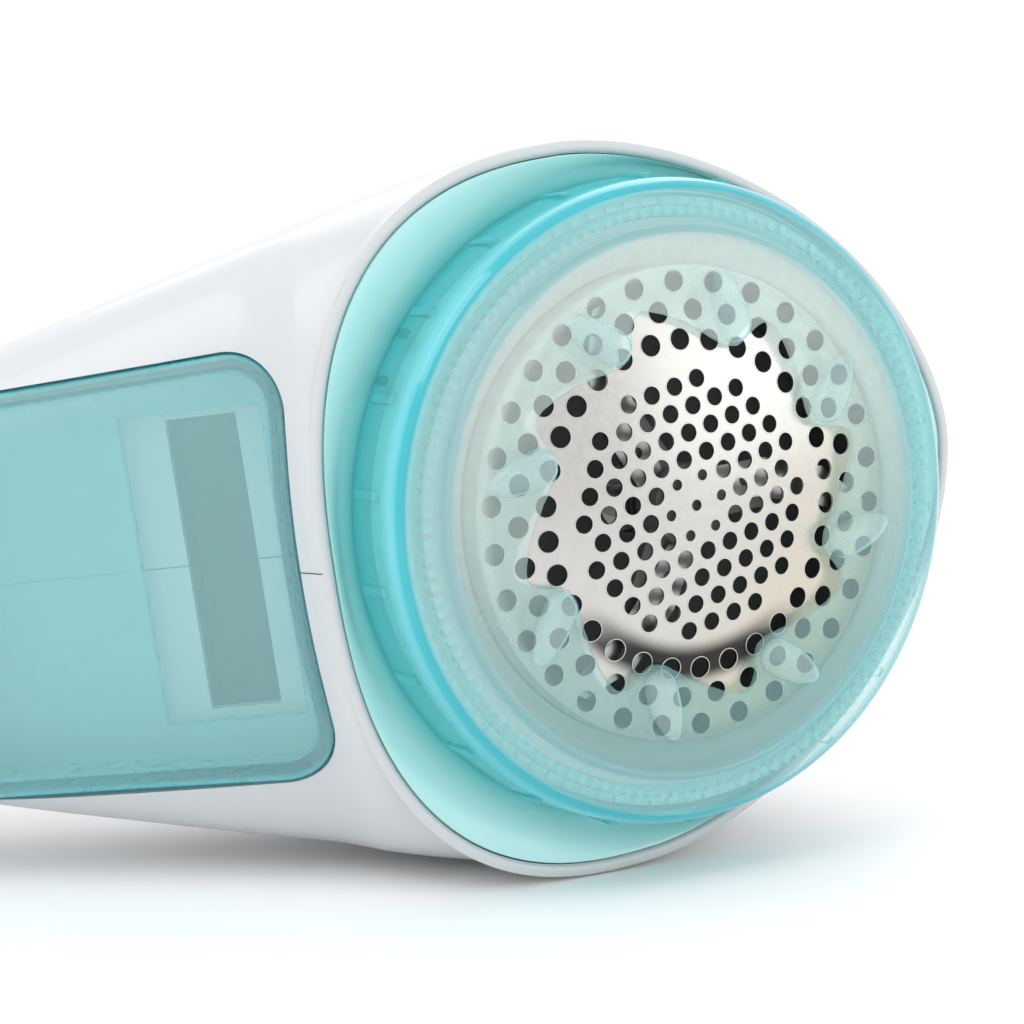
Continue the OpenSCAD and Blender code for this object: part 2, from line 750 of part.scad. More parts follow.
shell_upper();
shell_lower();
front_plate();
shell_screws();
cutter_chamber();
lint_duct();
duct_seal();
motor_bracket();
bracket_screws();
motor_can();
magnets();
motor_bushes();
motor_end_cap();
brushes();
motor_shaft();
armature();
commutator();
cutter_hub();
cutter_blades();
cutter_spring();
foil();
foil_ring();
detent_ring();
height_cap();
lint_container();
pivot_pins();
battery_tray();
cells();
cell_springs();
contact_plates();
battery_door();
switch_knob();
switch_body();
switch_contacts();
leads();
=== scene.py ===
"""Fabric shaver on its side: smooth shell, plate, cap, foil and lint container round the CAD frame."""

import json
import math

import bmesh
import bpy
from mathutils import Matrix, Vector


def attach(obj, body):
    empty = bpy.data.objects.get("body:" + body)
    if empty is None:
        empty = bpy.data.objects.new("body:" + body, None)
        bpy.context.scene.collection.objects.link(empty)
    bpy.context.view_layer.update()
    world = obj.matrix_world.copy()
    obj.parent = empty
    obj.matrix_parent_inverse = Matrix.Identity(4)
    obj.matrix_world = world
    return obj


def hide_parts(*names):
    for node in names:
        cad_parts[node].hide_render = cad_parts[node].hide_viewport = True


bl_info = {
    "name": "Fabric Shaver",
    "version": (1, 0, 0),
    "blender": (4, 5, 0),
    "location": "View3D > Sidebar > Shaver",
    "description": "Builds a fabric shaver, piece by piece, round its CAD frame",
    "category": "Add Mesh",
}

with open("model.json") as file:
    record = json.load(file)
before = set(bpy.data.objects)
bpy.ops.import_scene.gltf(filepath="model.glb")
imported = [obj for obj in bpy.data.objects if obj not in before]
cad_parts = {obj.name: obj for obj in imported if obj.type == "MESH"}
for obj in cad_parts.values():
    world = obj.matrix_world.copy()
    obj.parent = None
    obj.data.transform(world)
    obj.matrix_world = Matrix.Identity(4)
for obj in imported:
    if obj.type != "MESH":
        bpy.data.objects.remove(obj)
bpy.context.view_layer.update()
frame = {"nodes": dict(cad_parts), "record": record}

MM = 0.001
JOINTS = {joint["name"]: joint for joint in frame["record"]["behaviour"]["joints"]}
APEX = Vector(JOINTS["cutter_spin"]["pos_m"])
FACING = Vector(JOINTS["cutter_spin"]["axis"]).normalized()
UP_HANDLE = -Vector(JOINTS["door_slide"]["axis"]).normalized()
ACROSS = -Vector(JOINTS["container_open"]["axis"]).normalized()
HEAD_TURN = math.radians(32)


def placing(x, y, z):
    """The matrix that takes millimetres along three directions from the foil's middle to the row frame."""
    turned = Matrix((x, y, z)).transposed().to_4x4()
    return Matrix.Translation(APEX) @ turned @ Matrix.Scale(MM, 4)


# Device axes: up the handle, away from the container, across. Head axes: the same turned so that Z faces out.
DEVICE = placing(UP_HANDLE, ACROSS.cross(UP_HANDLE), ACROSS)
HEAD = placing(ACROSS.cross(FACING), ACROSS, FACING)
HEAD_IN_DEVICE = DEVICE.inverted() @ HEAD

# Sizes in millimetres, as in the CAD, but with a thinner lip and the widest lines drawn in by up to 0.4
RIM_Z = -8.2
PLATE_EDGE_Z = -8.4
PLATE_FLOOR_Z = -9.7
PLATE_BACK_Z = -11.4
PLATE_HEEL = 26.7
PLATE_NOSE = 37.3
PLATE_B = 31.3
PLATE_SHIFT = -4.3
LIP = 0.8
CAP_R = 28.6
FIRST_TOOTH = math.radians(21.2)
DOME_R = 17.0
DOME_RISE = 1.5
FOIL_THICKNESS = 0.25
WALL = 1.8
TAIL_X = 134.0
BOW_X = -8.0
SPINE_Y = 8.0
BAY_FRONT, BAY_REAR = -33.7, -72.3
BACK_LINE = (
    (-134, 13.4), (-130, 16.1), (-122, 18), (-100, 18.6), (-78, 20.2), (-58, 25),
    (-38, 33.6), (-20, 41.1), (-4, 43.6), (10, 40.2), (19, 33.4), (24.7, 25.4),
)
BELLY_LINE = (
    (-134, 0), (-130, -3.6), (-122, -5.5), (-100, -5.8), (-40, -5.8),
    (-36.4, -6.1), (-33.8, -7.7), (-31.4, -9.9), (-25, -10.6), (-8, -10.2),
)
SIDE_LINE = (
    (-134, 12.4), (-131, 15.4), (-127, 16.5), (-118, 16.8), (-86, 16.8), (-74, 17.8),
    (-60, 21.4), (-48, 24.5), (-37, 27.2), (-25, 30.15), (-14, 32.1), (-8, 32.35),
)


# ---------- curves ----------

def signed_power(value, exponent):
    return math.copysign(abs(value) ** exponent, value)


def along(line, x):
    """Height of the smooth curve through a line's points at x."""
    last = len(line) - 1
    i = 0
    while i < last - 1 and x >= line[i + 1][0]:
        i += 1

    def slope(j):
        a, b = max(j - 1, 0), min(j + 1, last)
        return (line[b][1] - line[a][1]) / (line[b][0] - line[a][0])

    step = line[i + 1][0] - line[i][0]
    t = (x - line[i][0]) / step
    return (
        (2 * t**3 - 3 * t**2 + 1) * line[i][1]
        + (t**3 - 2 * t**2 + t) * step * slope(i)
        + (3 * t**2 - 2 * t**3) * line[i + 1][1]
        + (t**3 - t**2) * step * slope(i + 1)
    )


def outline_exponent(m):
    return 2.5 if m < PLATE_SHIFT else 1.75


def outline_half(m):
    return PLATE_HEEL if m < PLATE_SHIFT else PLATE_NOSE


def rim_m(x):
    return (x - RIM_Z * math.sin(HEAD_TURN)) / math.cos(HEAD_TURN)


def rim_y(x):
    return rim_m(x) * math.sin(HEAD_TURN) - RIM_Z * math.cos(HEAD_TURN)


def outline_width(m, grow):
    e = outline_exponent(m)
    u = abs(m - PLATE_SHIFT) / (outline_half(m) + grow)
    return (PLATE_B + grow) * max(1 - u**e, 0) ** (1 / e)


def spine(x):
    return SPINE_Y if x < BOW_X else max(SPINE_Y, rim_y(x))


def back(x):
    return along(BACK_LINE, x)


def belly(x):
    return along(BELLY_LINE, x) if x < BOW_X else spine(x) - SPINE_Y + along(BELLY_LINE, BOW_X)


def half_width(x):
    return along(SIDE_LINE, x) if x < BOW_X else outline_width(rim_m(x), LIP)


def roundness(x):
    return 2.5 + 0.4 * min(max((-30 - x) / 60, 0), 1)


def belly_surface(x, z, proud):
    """Height of the shell's container side above the handle line, grown outwards by proud."""
    n = roundness(x)
    width = half_width(x) + proud
    down = spine(x) - belly(x) + proud
    return spine(x) - down * max(1 - min(abs(z) / width, 1) ** n, 0) ** (1 / n)


def section(x, inset, count=96):
    width = max(half_width(x) - inset, 0.4)
    middle = spine(x)
    e = 2 / roundness(x)
    up = max(back(x) - inset - middle, 0.3)
    down = max(middle - belly(x) - inset, 0.3)
    ring = []
    for k in range(count):
        a = math.tau * (k + 0.5) / count
        s = signed_power(math.cos(a), e)
        ring.append((x, middle + (up if s > 0 else down) * s, width * signed_power(math.sin(a), e)))
    return ring


def stations(inset):
    nose = (PLATE_NOSE + LIP + PLATE_SHIFT) * math.cos(HEAD_TURN) + RIM_Z * math.sin(HEAD_TURN)
    xs = [-TAIL_X + 14 * (1 - math.cos(math.radians(9 * i))) for i in range(10)]
    xs += [-118 + 3 * i for i in range(1, 26)]
    xs += [-41 + 1 * i for i in range(0, 13)]
    xs += [-26.5 + 2.5 * i for i in range(0, 7)]
    xs += [BOW_X + (nose - BOW_X) * math.sin(math.radians(5.4 * i)) for i in range(17)]
    kept = []
    for x in xs:
        x = min(max(x, -TAIL_X + inset), nose - inset)
        if not kept or x > kept[-1] + 0.01:
            kept.append(x)
    return kept


def plate_ring(grow, z, count=192):
    ring = []
    for k in range(count):
        a = math.tau * k / count
        side = PLATE_SHIFT + math.cos(a) - 0.01
        e = 2 / outline_exponent(side)
        ring.append((
            PLATE_SHIFT + (outline_half(side) + grow) * signed_power(math.cos(a), e),
            (PLATE_B + grow) * signed_power(math.sin(a), e),
            z,
        ))
    return ring


def circle_ring(r, z, count=192):
    return [(r * math.cos(math.tau * k / count), r * math.sin(math.tau * k / count), z) for k in range(count)]


def mixed_ring(first, second, t, z):
    return [(a[0] + (b[0] - a[0]) * t, a[1] + (b[1] - a[1]) * t, z) for a, b in zip(first, second)]


# ---------- modelling ----------

def clear_selection():
    if bpy.context.object and bpy.context.object.mode != "OBJECT":
        bpy.ops.object.mode_set(mode="OBJECT")
    bpy.ops.object.select_all(action="DESELECT")


def pick(obj):
    clear_selection()
    obj.select_set(True)
    bpy.context.view_layer.objects.active = obj


def named(name):
    obj = bpy.context.object
    obj.name = name
    obj.data.name = name
    return obj


def loft(name, rings, closed=False):
    """Extrudes a circle ring by ring and moves each new ring on to its own points."""
    clear_selection()
    count = len(rings[0])
    bpy.ops.mesh.primitive_circle_add(vertices=count, radius=1, fill_type="NOTHING")
    obj = named(name)
    bpy.ops.object.mode_set(mode="EDIT")
    bpy.ops.mesh.select_all(action="SELECT")
    mesh = bmesh.from_edit_mesh(obj.data)
    mesh.verts.ensure_lookup_table()
    order = list(range(count))
    for index, point in zip(order, rings[0]):
        mesh.verts[index].co = point
    for ring in rings[1:]:
        bpy.ops.mesh.extrude_edges_move()
        mesh = bmesh.from_edit_mesh(obj.data)
        mesh.verts.index_update()
        mesh.verts.ensure_lookup_table()
        place = {index: k for k, index in enumerate(order)}
        new_order = [0] * count
        for vert in mesh.verts:
            if not vert.select:
                continue
            for edge in vert.link_edges:
                k = place.get(edge.other_vert(vert).index)
                if k is not None:
                    new_order[k] = vert.index
                    vert.co = ring[k]
        order = new_order
    if closed:
        bpy.ops.mesh.select_all(action="SELECT")
        bpy.ops.mesh.remove_doubles(threshold=1e-4)
    else:
        for loop in (range(count), order):
            bpy.ops.mesh.select_all(action="DESELECT")
            mesh = bmesh.from_edit_mesh(obj.data)
            mesh.verts.ensure_lookup_table()
            for index in loop:
                mesh.verts[index].select = True
            mesh.select_flush(True)
            bpy.ops.mesh.edge_face_add()
        bpy.ops.mesh.select_all(action="SELECT")
    bpy.ops.mesh.normals_make_consistent(inside=False)
    bpy.ops.object.mode_set(mode="OBJECT")
    return obj


def prism(name, outline, low, high, axis="z"):
    """An outline extruded straight, along Z or along the device's Y."""
    if axis == "z":
        rings = [[(a, b, level) for a, b in outline] for level in (low, high)]
    else:
        rings = [[(a, level, b) for a, b in outline] for level in (low, high)]
    return loft(name, rings)


def block(name, low, high):
    clear_selection()
    middle = [(a + b) / 2 for a, b in zip(low, high)]
    bpy.ops.mesh.primitive_cube_add(size=1, location=middle)
    obj = named(name)
    obj.scale = [b - a for a, b in zip(low, high)]
    bpy.ops.object.transform_apply(location=True, rotation=True, scale=True)
    return obj


def rod(name, start, end, radius, sides=32):
    clear_selection()
    start, end = Vector(start), Vector(end)
    along_it = end - start
    bpy.ops.mesh.primitive_cylinder_add(
        vertices=sides, radius=radius, depth=along_it.length, location=(start + end) / 2,
        rotation=along_it.to_track_quat("Z", "Y").to_euler(),
    )
    obj = named(name)
    bpy.ops.object.transform_apply(location=True, rotation=True, scale=True)
    return obj


def moved(obj, matrix):
    """Puts an object's mesh through a matrix and leaves the object at the origin."""
    pick(obj)
    obj.matrix_world = matrix
    bpy.ops.object.transform_apply(location=True, rotation=True, scale=True)
    return obj


def combine(obj, operation, *tools):
    """Applies one boolean a tool, and removes the tools."""
    for tool in tools:
        pick(obj)
        modifier = obj.modifiers.new("Combine", "BOOLEAN")
        modifier.operation = operation
        modifier.solver = "MANIFOLD"
        modifier.object = tool
        bpy.ops.object.modifier_apply(modifier=modifier.name)
        bpy.data.objects.remove(tool)
        if len(obj.data.polygons) == 0:
            raise RuntimeError(obj.name + " came out empty")
    return obj


def join(obj, *others):
    pick(obj)
    for other in others:
        other.select_set(True)
    bpy.ops.object.join()
    return obj


def bevelled(obj, width, segments=3, angle=40):
    pick(obj)
    modifier = obj.modifiers.new("Edges", "BEVEL")
    modifier.width = width
    modifier.segments = segments
    modifier.limit_method = "ANGLE"
    modifier.angle_limit = math.radians(angle)
    bpy.ops.object.modifier_apply(modifier=modifier.name)
    return obj


def finished(obj, matrix, material, body, nodes=(), angle=32):
    """Puts a piece in the row frame, smooths it, gives it its material, ties it to its body and hides its CAD
    nodes.
    """
    moved(obj, matrix)
    bpy.ops.object.shade_smooth_by_angle(angle=math.radians(angle))
    obj.data.materials.clear()
    obj.data.materials.append(material)
    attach(obj, body)
    if nodes:
        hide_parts(*nodes)
    return obj


# ---------- materials ----------

class Value:
    """A socket that takes part in Python expressions."""

    def __init__(self, maker, socket):
        self.maker = maker
        self.socket = socket

    def math(self, operation, *others):
        inputs = {i: other for i, other in enumerate((self, *others))}
        return self.maker.node("ShaderNodeMath", {"operation": operation}, inputs)

    def __add__(self, other):
        return self.math("ADD", other)

    __radd__ = __add__

    def __mul__(self, other):
        return self.math("MULTIPLY", other)

    __rmul__ = __mul__

    def __sub__(self, other):
        return self.math("SUBTRACT", other)

    def __rsub__(self, other):
        return self.maker.node("ShaderNodeMath", {"operation": "SUBTRACT"}, {0: other, 1: self})


class Maker:
    """Builds one material's nodes."""

    def __init__(self, name):
        self.material = bpy.data.materials.new(name)
        self.material.use_nodes = True
        self.tree = self.material.node_tree
        self.surface = self.tree.nodes["Principled BSDF"]
        self.output = self.tree.nodes["Material Output"]

    def node(self, kind, settings=None, inputs=None, output=0):
        made = self.tree.nodes.new(kind)
        for key, value in (settings or {}).items():
            setattr(made, key, value)
        for key, value in (inputs or {}).items():
            if isinstance(value, Value):
                self.tree.links.new(value.socket, made.inputs[key])
            else:
                made.inputs[key].default_value = value
        return Value(self, made.outputs[output])

    def set(self, **inputs):
        for key, value in inputs.items():
            socket = self.surface.inputs[key.replace("_", " ")]
            if isinstance(value, Value):
                self.tree.links.new(value.socket, socket)
            else:
                socket.default_value = value

    def position(self):
        return self.node("ShaderNodeTexCoord", output="Object")

    def noise(self, scale, detail=2.0):
        inputs = {"Vector": self.position(), "Scale": scale, "Detail": detail}
        return self.node("ShaderNodeTexNoise", None, inputs)

    def along_axis(self, axis, origin=APEX):
        """Millimetres from a point along a direction."""
        offset = self.node("ShaderNodeVectorMath", {"operation": "SUBTRACT"},
                           {0: self.position(), 1: tuple(origin)})
        dot = self.node("ShaderNodeVectorMath", {"operation": "DOT_PRODUCT"},
                        {0: offset, 1: tuple(axis)}, output="Value")
        return dot * (1 / MM)

    def head_radius(self):
        across = self.along_axis(ACROSS)
        up = self.along_axis(ACROSS.cross(FACING))
        return (across * across + up * up).math("SQRT")

    def step(self, value, low, high, reverse=False):
        """0 below low, 1 above high, smooth between."""
        ends = (1.0, 0.0) if reverse else (0.0, 1.0)
        inputs = {"Value": value, "From Min": low, "From Max": high, "To Min": ends[0], "To Max": ends[1]}
        return self.node("ShaderNodeMapRange", {"interpolation_type": "SMOOTHSTEP"}, inputs)

    def between(self, value, low, full, fade, high):
        """0 outside low to high and 1 from full to fade."""
        return self.step(value, low, full) * self.step(value, fade, high, reverse=True)

    def mix(self, factor, first, second):
        made = self.tree.nodes.new("ShaderNodeMix")
        made.data_type = "RGBA"
        sockets = [s for s in made.inputs if s.type == "RGBA"]
        for socket, value in ((made.inputs[0], factor), (sockets[0], first), (sockets[1], second)):
            if isinstance(value, Value):
                self.tree.links.new(value.socket, socket)
            else:
                socket.default_value = (*value, 1) if isinstance(value, tuple) else value
        return Value(self, [s for s in made.outputs if s.type == "RGBA"][0])

    def bump(self, height, strength, distance):
        inputs = {"Height": height, "Strength": strength, "Distance": distance}
        self.set(Normal=self.node("ShaderNodeBump", None, inputs))

    def see_through(self, opacity, tint):
        """Mixes the surface with a tinted clear one."""
        clear = self.tree.nodes.new("ShaderNodeBsdfTransparent")
        clear.inputs["Color"].default_value = (*tint, 1)
        mixer = self.tree.nodes.new("ShaderNodeMixShader")
        if isinstance(opacity, Value):
            self.tree.links.new(opacity.socket, mixer.inputs[0])
        else:
            mixer.inputs[0].default_value = opacity
        self.tree.links.new(clear.outputs[0], mixer.inputs[1])
        self.tree.links.new(self.surface.outputs[0], mixer.inputs[2])
        self.tree.links.new(mixer.outputs[0], self.output.inputs["Surface"])


def chosen(part):
    return tuple(getattr(bpy.context.scene.shaver_colours, part))


def plastic(name, colour, roughness, coat=0.0, grain=0.02, bump=0.0):
    maker = Maker(name)
    cloud = maker.noise(180, 3)
    low = tuple(c * (1 - grain) for c in colour)
    maker.set(Base_Color=maker.mix(cloud, low, colour), Roughness=cloud * 0.08 + (roughness - 0.04), IOR=1.49)
    maker.set(Coat_Weight=coat, Coat_Roughness=0.08)
    if bump:
        maker.bump(maker.noise(2600, 2), bump, 0.00005)
    return maker.material


def metal(name, colour, roughness, scale=900.0):
    maker = Maker(name)
    streak = maker.noise(scale, 3)
    low = tuple(c * 0.86 for c in colour)
    maker.set(Base_Color=maker.mix(streak, low, colour), Metallic=1.0)
    maker.set(Roughness=streak * 0.14 + (roughness - 0.07))
    return maker.material


def shell_material():
    return plastic("white_shell", chosen("shell"), 0.36, coat=0.2, grain=0.015)


def plate_material():
    maker = Maker("aqua_plate")
    # Painted shade: the plate turns a darker teal at the foot of the cap wall, from radius 28.2 to 31.
    shade_near_cap = maker.step(maker.head_radius(), 28.2, 31, reverse=True)
    cloud = maker.noise(160, 3)
    maker.set(
        Base_Color=maker.mix(shade_near_cap, chosen("plate"), (0.16, 0.62, 0.62)),
        Roughness=cloud * 0.08 + 0.22, IOR=1.49, Coat_Weight=0.4, Coat_Roughness=0.08,
    )
    return maker.material


def foil_material():
    maker = Maker("foil_steel")
    across = maker.along_axis(ACROSS)
    up = maker.along_axis(ACROSS.cross(FACING))
    radius = maker.head_radius()
    grain = maker.noise(1500, 3)
    # Painted shade: a near-black band on the foil just inside the cap's opening, on the side away from
    # ACROSS.
    shade_band = maker.between(radius, 11.6, 13.4, 14.6, 16.2)
    below = maker.step(across * -1 - up * 0.2, 8.0, 13.0)
    # Painted reflection: a warm tint on the foil that grows towards its upper side and away from ACROSS.
    warm_reflection = maker.step(up - across, 2, 26)
    base = maker.mix(grain, (0.50, 0.495, 0.475), (0.60, 0.59, 0.565))
    base = maker.mix(warm_reflection * 0.8, base, (0.60, 0.54, 0.42))
    base = maker.mix(shade_band * below * 0.96, base, (0.02, 0.018, 0.016))
    maker.set(Base_Color=base, Metallic=1.0, Roughness=grain * 0.10 + 0.20)
    return maker.material


def cap_material():
    maker = Maker("clear_cap")
    radius = maker.head_radius()
    height = maker.along_axis(FACING)
    face = maker.step(radius, 23.2, 24.4, reverse=True)
    wall = maker.step(radius, 27.3, 28.2)
    rim = maker.step(radius, 26.6, 27.9) * maker.step(height, -4.6, -2.8)
    drops = maker.step(height, 0.05, 0.3)
    cloud = maker.noise(900, 3)
    facing = maker.node("ShaderNodeLayerWeight", None, {"Blend": 0.35}, output="Facing")
    edge = maker.step(facing, 0.3, 0.95)
    # Painted light and shade: the frosted face is pale towards the upper left (along ACROSS) and a darker
    # teal on the far side.
    lit_upper_left = maker.step(maker.along_axis(ACROSS), -24, 18)
    frosted_lit_and_shaded = maker.mix(lit_upper_left, (0.32, 0.56, 0.56), (0.88, 0.95, 0.91))
    colour = maker.mix(face, (0.55, 0.87, 0.88), frosted_lit_and_shaded)
    angle = maker.along_axis(ACROSS).math("ARCTAN2", maker.along_axis(ACROSS.cross(FACING)))
    beads = (angle * (132 / math.tau)).math("PINGPONG", 0.5) * 2
    beads = maker.step(beads, 0.35, 0.65) * maker.between(radius, 25.0, 25.3, 25.8, 26.1)
    colour = maker.mix(beads * 0.55, colour, (0.20, 0.62, 0.66))
    colour = maker.mix(wall, colour, (0.10, 0.64, 0.68))
    colour = maker.mix(rim, colour, (0.14, 0.64, 0.73))
    line = maker.between(radius, 27.2, 27.5, 27.9, 28.2) * maker.step(height, -3.4, -2.8)
    colour = maker.mix(line, colour, (0.02, 0.44, 0.52))
    seam = maker.between(radius, 23.3, 23.7, 24.0, 24.5)
    colour = maker.mix(seam, colour, (0.30, 0.54, 0.57))
    colour = maker.mix(drops, colour, (0.62, 0.84, 0.85))
    colour = maker.mix(edge * 0.9, colour, chosen("clear"))
    maker.set(Base_Color=colour, IOR=1.49, Coat_Weight=0.6, Coat_Roughness=0.05,
              Roughness=face * (1 - drops) * 0.25 + cloud * 0.06 + 0.12)
    outer = face * maker.step(radius, 19.8, 21.0)
    opacity = face * (cloud * 0.08 - 0.12) + outer * 0.13 + drops * (edge * 0.5 + 0.1) + beads * 0.2
    opacity = opacity + 0.28 + line * 0.3 + seam * 0.25 + rim * 0.3 + wall * 0.08 + edge * 0.5
    maker.see_through(opacity.math("MINIMUM", 0.92), (0.92, 0.985, 0.98))
    return maker.material


def container_material():
    maker = Maker("clear_container")
    facing = maker.node("ShaderNodeLayerWeight", None, {"Blend": 0.35}, output="Facing")
    edge = maker.step(facing, 0.15, 0.75)
    cloud = maker.noise(700, 3)
    colour = maker.mix(edge, (0.50, 0.87, 0.88), chosen("clear"))
    maker.set(Base_Color=colour, Roughness=cloud * 0.08 + 0.24, IOR=1.49, Coat_Weight=0.4, Coat_Roughness=0.1)
    maker.see_through(edge * 0.6 + 0.24, (0.92, 0.995, 0.995))
    return maker.material


MATERIALS = {}


def material(name):
    """Each material is made once."""
    if name not in MATERIALS:
        makers = {
            "shell": shell_material,
            "plate": plate_material,
            "foil": foil_material,
            "cap": cap_material,
            "container": container_material,
            "steel": lambda: metal("bright_steel", (0.72, 0.72, 0.71), 0.3),
            "blade": lambda: metal("ground_steel", (0.46, 0.48, 0.46), 0.34),
            "brass": lambda: metal("brass_contacts", (0.78, 0.62, 0.32), 0.3),
            "copper": lambda: metal("copper_windings", (0.72, 0.38, 0.2), 0.38),
            "inner": lambda: plastic("inner_grey", (0.62, 0.64, 0.63), 0.5, bump=0.15),
            "dark": lambda: plastic("inner_dark", (0.055, 0.07, 0.07), 0.5, bump=0.15),
            "chamber": lambda: plastic("chamber_dark", (0.10, 0.11, 0.10), 0.6, bump=0.15),
            "hub": lambda: plastic("hub_grey", (0.20, 0.215, 0.20), 0.5, bump=0.15),
            "rubber": lambda: plastic("seal_rubber", (0.03, 0.03, 0.03), 0.75, bump=0.3),
            "magnet": lambda: plastic("ferrite", (0.05, 0.05, 0.055), 0.6, bump=0.3),
            "cell": lambda: plastic("cell_wrap", (0.08, 0.22, 0.2), 0.3, coat=0.4),
            "wire": lambda: plastic("wire_red", (0.45, 0.03, 0.025), 0.45),
            "collar": lambda: plastic("collar_aqua", (0.45, 0.82, 0.82), 0.35),
        }
        MATERIALS[name] = makers[name]()
    return MATERIALS[name]


NODE_MATERIALS = {
    "shell_screws": "steel", "cutter_chamber": "chamber", "lint_duct": "dark", "duct_seal": "rubber",
    "motor_bracket": "inner", "bracket_screws": "steel", "motor_can": "steel", "magnets": "magnet",
    "motor_bushes": "blade", "motor_end_cap": "inner", "brushes": "brass", "motor_shaft": "steel",
    "armature": "copper", "commutator": "copper", "cutter_hub": "hub", "cutter_blades": "blade",
    "cutter_spring": "steel", "foil": "foil", "foil_ring": "inner", "detent_ring": "collar",
    "height_cap": "cap", "lint_container": "container", "pivot_pins": "steel", "battery_tray": "inner",
    "cells": "cell", "cell_springs": "steel", "contact_plates": "brass", "battery_door": "shell",
    "switch_knob": "plate", "switch_body": "dark", "switch_contacts": "brass", "leads": "wire",
    "shell_upper": "shell", "shell_lower": "shell", "front_plate": "plate",
}


# ---------- shapes shared by the shell, the door and the container ----------

def skin(name, inset):
    return loft(name, [section(x, inset) for x in stations(inset)])


def corner(cx, cz, r, start):
    return [(cx + r * math.cos(math.radians(start + a)), cz + r * math.sin(math.radians(start + a)))
            for a in range(0, 91, 6)]


def bay_outline(grow):
    """Outline of the container's bay, with a hollow head-side edge."""
    gap = 0.35
    front, rear = BAY_FRONT + grow - gap, BAY_REAR - grow + gap
    width, r = 19.2 + grow - gap, 5 + grow
    narrow, q = width - 1.2, 3 + grow
    points = corner(front - r + 0.6, width - r, r, 0)
    points += corner(rear + q, narrow - q, q, 90)
    points += corner(rear + q, -narrow + q, q, 180)
    points += corner(front - r + 0.6, -width + r, r, 270)
    points += [(front - 0.1 + 0.7 * (z / 13) ** 2, z) for z in (2.2 * k for k in range(-5, 6))]
    return points


def bay_floor(x, grow=0.0):
    front, rear = BAY_FRONT + 3, BAY_REAR - 3
    t = (front - x) / (front - rear)
    return 1.2 + 7.6 * t + grow


def bay_block(name, grow):
    front, rear = BAY_FRONT + 3, BAY_REAR - 3
    outline = [(front, -25), (front, bay_floor(front, grow)), (rear, bay_floor(rear, grow)), (rear, -25)]
    return prism(name, outline, -30, 30)


def in_head(obj):
    return moved(obj, HEAD_IN_DEVICE)


POSTS = ((-73.9, 15.6), (-45, 25.5), (9.5, 31))
POST_R = 2.3


def width_at(x, y):
    middle = spine(x)
    height = back(x) - middle if y > middle else middle - belly(x)
    n = roundness(x)
    return half_width(x) * max(1 - (abs(y - middle) / height) ** n, 0) ** (1 / n)


def post_reach(x, y):
    sides = ((0, POST_R), (0, -POST_R), (POST_R, 0), (-POST_R, 0))
    return min(width_at(x + a, y + b) for a, b in sides) - 0.4


def door_block(name, grow):
    return block(name, (-TAIL_X - 5, 13.2 - grow, -13 - grow), (-84 + grow, 33, 13 + grow))


def shell_body():
    body = combine(skin("shell", 0), "DIFFERENCE", skin("inside", WALL), door_block("door_gap", 0.25))
    pocket = combine(skin("pocket", 0.4), "INTERSECT", prism("bay_walls", bay_outline(1.4), -20, 20, "y"),
                     bay_block("bay_depth", 1.3))
    posts = [rod("post", (x, y, -post_reach(x, y)), (x, y, post_reach(x, y)), POST_R) for x, y in POSTS]
    combine(body, "UNION", pocket, *posts)
    lip = in_head(loft("lip", [plate_ring(LIP, RIM_Z - 2.5), plate_ring(LIP, RIM_Z)]))
    combine(body, "UNION", lip)
    above = in_head(block("above_rim", (-60, -60, RIM_Z - 0.3), (60, 60, 60)))
    plate_hole = in_head(loft("plate_hole", [plate_ring(0.08, PLATE_BACK_Z - 0.1), plate_ring(0.08, 10)]))
    bay = combine(prism("bay", bay_outline(0.25), -30, 20, "y"), "INTERSECT", bay_block("bay_cut", 0))
    duct = block("duct_cut", (-45.5, -5, -13.2), (-39, 8, 13.2))
    slot = block("switch_slot", (-72, 15, -2.4), (-54, 35, 2.4))
    holes = []
    for x, y in POSTS:
        holes.append(rod("screw_seat", (x, y, -50), (x, y, 2.2 - post_reach(x, y)), 2.0))
    combine(body, "DIFFERENCE", above, plate_hole, bay, duct, slot, *holes)
    return body


def rim_bead():
    """The rounded bead on the shell's lip, which reaches a little past the lip's wall."""
    profile = ((0.12, -1.2), (0.12, -0.25), (0.3, -0.03), (0.6, 0.0), (0.95, -0.06), (1.15, -0.22),
               (LIP, -0.5), (LIP, -1.2), (0.12, -1.2))
    return loft("rim_bead", [plate_ring(grow, RIM_Z + z) for grow, z in profile], closed=True)


# ---------- operators ----------

class ShaverShell(bpy.types.Operator):
    """Both halves of the shell, with the bay, the lip and the screw holes"""

    bl_idname = "shaver.shell"
    bl_label = "Shell"

    def execute(self, context):
        gap = context.scene.shaver_shell.parting_gap / MM / 2
        upper = shell_body()
        pick(upper)
        bpy.ops.object.duplicate()
        lower = named("shell_lower_visual")
        upper.name = upper.data.name = "shell_upper_visual"
        combine(upper, "DIFFERENCE", block("lower_space", (-160, -60, -60), (60, 80, gap)))
        combine(lower, "DIFFERENCE", block("upper_space", (-160, -60, -gap), (60, 80, 60)))
        finished(upper, DEVICE, material("shell"), "handle", ("shell_upper",))
        finished(lower, DEVICE, material("shell"), "handle", ("shell_lower",))
        finished(rim_bead(), HEAD, material("shell"), "handle", angle=60)
        return {"FINISHED"}


